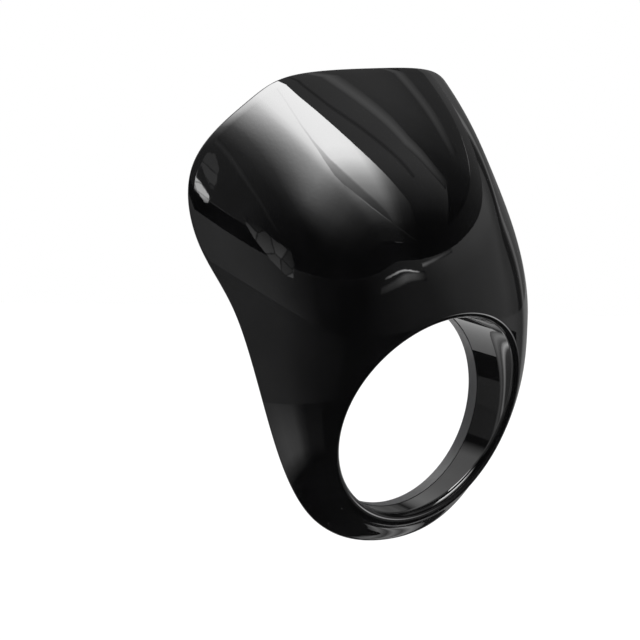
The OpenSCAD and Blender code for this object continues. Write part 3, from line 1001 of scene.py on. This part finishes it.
DIM_FAR = [
    (-83.6, 31), (-81, 30.4), (-78.4, 30), (-76, 29.2), (-73.6, 28.4), (-70.6, 28), (-67, 27.6),
    (-65.6, 23),
]
fades = [lengthwise(DIM_LENGTH), crosswise(DIM_SIDES)]
dim_patch = card_material("dim_patch_light", shown=1.5, lit=0.7, fades=fades, shards=0.17)
card("dim_patch_card", dim_patch, DIM_NEAR, DIM_FAR, on_wall, far=0.97 * FAR)
SHOULDER_LINE = [(1.06, -0.04), (1.14, 0.07), (1.22, 0.16), (1.30, 0.26), (1.42, 0.37), (1.56, 0.5)]
SHOULDER_LENGTH = [(0.0, 0.95), (0.3, 0.8), (0.6, 0.5), (1.0, 0.2)]
SHOULDER_SIDES = [(0.0, 0.5), (0.5, 1.0), (1.0, 0.5)]
shoulder = card_material(
    "shoulder_light", shown=0.5, lit=0.7, fades=[crosswise(SHOULDER_SIDES), lengthwise(SHOULDER_LENGTH)],
)
ribbon("shoulder_card", shoulder, SHOULDER_LINE, width=0.05, place_of=on_ceiling, far=0.97 * FAR)

# Elevations where the cards on the floor start, straight below, and where they end, near the horizon
FLOOR_START = -89.5
FLAG_END = -4
FLOOR_END = -4.1

# Level flags under the object, and the pale floor that the right and the left flank show
under = card_material("under_flag", shown=0.03, lit=0.0)
card("under_flag_card", under, *between(-165, 150, FLOOR_START, FLAG_END), on_floor, far=0.73,
     steps=WIDE_CARD_STEPS, rows=32, only_mirrored=True)
card("below_flag_card", under, *between(-180, 180, FLOOR_START, -57), on_floor, far=0.731,
     steps=WIDE_CARD_STEPS, rows=4, only_mirrored=True)
RIGHT_FLOOR_AZ = [
    (-140, 0.4), (-112, 0.8), (-100, 1.0), (-86, 0.85), (-80, 0.35), (-74, 0.12), (-58, 0.1),
]
RIGHT_FLOOR_EL = [(-55, 0.1), (-51, 0.4), (-46, 1.0), (-40, 1.0), (-27, 0.55)]
fades = [by_place(RIGHT_FLOOR_AZ), by_place(RIGHT_FLOOR_EL, x=0, y=1)]
right_floor = card_material("right_floor_light", shown=0.9, lit=0.0, fades=fades)
card("right_floor_card", right_floor, *between(-140, -58, -55, -27), on_floor, far=0.72, only_mirrored=True)
DIM_RIGHT_AZ = [(-140, 0.7), (-100, 1.0), (-85, 0.9), (-73, 0.5), (-60, 0.25), (-40, 0.15)]
dim_right = card_material("dim_right_light", shown=0.32, lit=0.0, fades=[by_place(DIM_RIGHT_AZ)])
card("dim_right_card", dim_right, *between(-140, -40, -27, FLOOR_END), on_floor, far=0.725,
     only_mirrored=True)
LEFT_FLOOR_AZ = [(10, 0.2), (40, 0.8), (80, 1.0), (98, 0.4), (104, 0.3), (110, 1.0), (140, 0.6)]
left_floor = card_material("left_floor_light", shown=0.35, lit=0.0, fades=[by_place(LEFT_FLOOR_AZ)])
card("left_floor_card", left_floor, *between(10, 140, -30, FLOOR_END), on_floor, far=0.725,
     only_mirrored=True)
CHIN_EL = [(-68, 0.3), (-62, 0.9), (-57, 0.25), (-54, 1.0), (-50, 0.3), (-46, 1.0), (-40, 0.2)]
chin = card_material("chin_light", shown=1.0, lit=0.0, fades=[by_place(CHIN_EL, x=0, y=1)])
card("chin_card", chin, *between(95, 125, -68, -40), on_floor, far=0.715, only_mirrored=True)

# Low strip near the lip, and a dark sheet with bright rings in the tunnel that only mirrors show
STRIP_AZ = [(30, 0.1), (42, 0.8), (55, 1.0), (64, 0.5), (74, 0.1), (85, 0.02)]
STRIP_HEIGHTS = [(-0.14, 0.5), (-0.11, 1.0), (-0.06, 0.7), (-0.03, 0.1), (0.0, 0.02)]
strip = card_material(
    "strip_light", shown=6.0, lit=0.0, fades=[by_place(STRIP_AZ), by_place(STRIP_HEIGHTS, x=0, y=1)],
)
card("strip_card", strip, *between(30, 85, -0.14, 0.0), on_stand, far=0.45, only_mirrored=True)
RING_STRENGTH = 3.0
RINGS = [
    (0, 0.3), (55, 0.4), (60, 0.5), (62, 1.6), (64, 0.3), (69, 0.3), (70.5, 2.4), (72, 0.4), (74, 0.9),
    (76, 0.3),
]
RING_SHARES = [(r, v / RING_STRENGTH) for r, v in RINGS]
RING_SHEET_Y = -22.0
ring_light = card_material(
    "ring_light", shown=RING_STRENGTH, lit=0.0, fades=[by_place(RING_SHARES, x=0, y=1)],
)
card("ring_card", ring_light, *between(0, 360, 0.5, 76), on_disc, far=RING_SHEET_Y,
     steps=WIDE_CARD_STEPS, only_mirrored=True)

# Overhead card to the rear, which lights the hidden side
REAR_SIDES = [(0.0, 0.1), (0.35, 0.8), (0.55, 1.0), (0.8, 0.7), (1.0, 0.1)]
rear = card_material("rear_light", shown=2.0, lit=6.0, fades=[crosswise(REAR_SIDES), lengthwise(REAR_SIDES)])
card("rear_card", rear, *between(-1.2, 1.5, -1.3, -0.5), on_ceiling, far=0.9 * FAR)


# Share of white for camera, glossy and transmission rays, so that mirrors show the same background
def background_rays(net):
    path = net.nodes.new("ShaderNodeLightPath")
    total = path.outputs["Is Camera Ray"]
    for kind in ("Is Glossy Ray", "Is Transmission Ray"):
        total = maths(net, "MAXIMUM", total, path.outputs[kind])
    return total


# Pale floor under and behind the object, white to the camera, with the object's soft shadow
PALE = (0.8, 0.8, 0.8, 1)
FLOOR_ROUGHNESS = 0.9
FLOOR_GLOW = 0.9
floor_material, net, principled = new_material("pale_floor")
principled.inputs["Base Color"].default_value = PALE
principled.inputs["Roughness"].default_value = FLOOR_ROUGHNESS
principled.inputs["Specular IOR Level"].default_value = 0.0
glow = net.nodes.new("ShaderNodeEmission")
blend = net.nodes.new("ShaderNodeMixShader")
net.links.new(maths(net, "MULTIPLY", background_rays(net), FLOOR_GLOW), blend.inputs["Fac"])
net.links.new(principled.outputs[0], blend.inputs[1])
net.links.new(glow.outputs[0], blend.inputs[2])
net.links.new(blend.outputs[0], net.nodes["Material Output"].inputs["Surface"])
bm = bmesh.new()
bmesh.ops.create_circle(bm, cap_ends=True, segments=FLOOR_TURNS, radius=FLOOR_R)
bmesh.ops.translate(bm, vec=(0, 0, FLOOR_Z), verts=bm.verts)
to_stage(bm, "floor", floor_material, seen=True)

# Plain light level of the surroundings, and white for the rays that see the background
PLAIN_LEVEL = 0.45
WHITE_LEVEL = 1.0
bpy.context.scene.view_settings.view_transform = "Standard"
world = bpy.data.worlds.new("studio")
bpy.context.scene.world = world
world.use_nodes = True
net = world.node_tree
background = net.nodes["Background"]
background.inputs["Color"].default_value = (1, 1, 1, 1)
level = spread(net, background_rays(net), To_Min=PLAIN_LEVEL, To_Max=WHITE_LEVEL)
net.links.new(level, background.inputs["Strength"])
